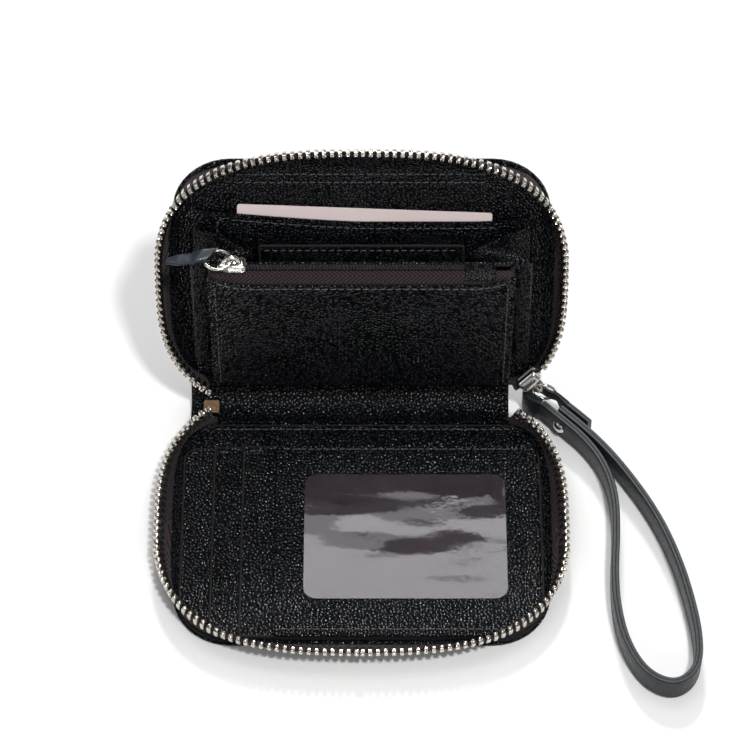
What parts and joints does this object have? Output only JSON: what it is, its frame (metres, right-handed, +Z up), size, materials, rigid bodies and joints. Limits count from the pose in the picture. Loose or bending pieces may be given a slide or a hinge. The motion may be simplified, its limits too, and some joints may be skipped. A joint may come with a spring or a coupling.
{
  "type": "wristlet wallet",
  "caption": "Zip-around pebbled leather wristlet wallet, open like a laptop, with a coin purse, card slots, an identity window and a looped wrist strap.",
  "frame": {"origin": "on the front cover's underside, midway across and 46.5 mm in front of the fold axis", "axes": "+X to the right along the spine, +Y from the front edge towards the spine, +Z up from the table"},
  "size_m": [0.1823, 0.1537, 0.1034],
  "materials": {
    "pebble_leather": "satin",
    "stiffener_board": "matte",
    "zip_fabric": "matte",
    "nickel_metal": "polished",
    "coil_nylon": "satin",
    "clear_vinyl": "gloss",
    "strap_leather": "satin",
    "tan_leather": "matte",
    "card_stock": "satin"
  },
  "bodies": {
    "front_half": {"front_cover": "pebble_leather", "front_board": "stiffener_board", "front_lining": "pebble_leather", "front_zip_tape": "zip_fabric", "front_zip_teeth": "nickel_metal", "bill_pocket_panel": "pebble_leather", "slot_backing_panel": "pebble_leather", "card_slot_1": "pebble_leather", "card_slot_2": "pebble_leather", "id_pocket_frame": "pebble_leather", "id_window": "clear_vinyl", "id_pocket_backing": "zip_fabric", "spine_cover": "pebble_leather", "spine_lining": "pebble_leather", "zip_end_patch": "tan_leather", "wrist_strap": "strap_leather", "strap_tail": "strap_leather", "strap_neck": "strap_leather", "rivet_cap": "nickel_metal", "rivet_post": "nickel_metal"},
    "back_half": {"back_cover": "pebble_leather", "back_board": "stiffener_board", "back_lining": "pebble_leather", "back_zip_tape": "zip_fabric", "back_zip_teeth": "nickel_metal", "slip_pocket_panel": "pebble_leather", "gusset_left": "pebble_leather", "gusset_right": "pebble_leather", "main_slider_body": "nickel_metal", "main_slider_bridge": "nickel_metal"},
    "divider": {"purse_divider": "pebble_leather"},
    "card": {"spare_card": "card_stock"},
    "coin_purse": {"purse_back_panel": "pebble_leather", "purse_front_panel": "pebble_leather", "purse_side_left": "pebble_leather", "purse_side_right": "pebble_leather", "purse_tape_back": "zip_fabric", "purse_tape_front": "zip_fabric", "purse_coil_back": "coil_nylon", "purse_coil_front": "coil_nylon", "purse_end_patch": "pebble_leather"},
    "coin_slider": {"coin_slider_body": "nickel_metal", "coin_slider_bridge": "nickel_metal"},
    "coin_ring": {"coin_pull_ring": "nickel_metal"},
    "coin_tab": {"coin_pull_tab": "strap_leather"},
    "ring": {"strap_ring": "nickel_metal"}
  },
  "joints": [
    {"name": "fold", "type": "hinge", "parent": "front_half", "child": "back_half", "pos_m": [0, 0.0465, 0.011], "axis": [1, 0, 0], "range_deg": [-69, 111], "deforming": ["spine_cover", "spine_lining", "wrist_strap", "strap_tail", "strap_neck"]},
    {"name": "purse_swing", "type": "hinge", "parent": "back_half", "child": "coin_purse", "pos_m": [0, 0.05233, 0.01251], "axis": [1, 0, 0], "range_deg": [-13.2, 8.4], "deforming": ["gusset_left", "gusset_right"]},
    {"name": "divider_swing", "type": "hinge", "parent": "back_half", "child": "divider", "pos_m": [0, 0.05233, 0.01251], "axis": [1, 0, 0], "range_deg": [-6.7, 4.3]},
    {"name": "card_slide", "type": "slide", "parent": "back_half", "child": "card", "axis": [0, 0.3584, 0.9336], "range_m": [0, 0.011]},
    {"name": "coin_slider_slide", "type": "slide", "parent": "coin_purse", "child": "coin_slider", "axis": [1, 0, 0], "range_m": [0, 0.072]},
    {"name": "coin_ring_swing", "type": "hinge", "parent": "coin_slider", "child": "coin_ring", "pos_m": [-0.043, 0.05809, 0.07722], "axis": [0, 0.9903, -0.1392], "range_deg": [0, 150]},
    {"name": "coin_tab_swing", "type": "hinge", "parent": "coin_ring", "child": "coin_tab", "pos_m": [-0.0518, 0.05809, 0.07722], "axis": [0, 0.9903, -0.1392], "range_deg": [-20, 28]},
    {"name": "strap_ring_swing", "type": "hinge", "parent": "back_half", "child": "ring", "pos_m": [0.06102, 0.05074, 0.01452], "axis": [0.8527, -0.1188, 0.5086], "range_deg": [-15, 15]}
  ],
  "couplings": [
    {"joint": "purse_swing", "follows": "fold", "ratio": -0.11712},
    {"joint": "divider_swing", "follows": "fold", "ratio": -0.05856}
  ]
}
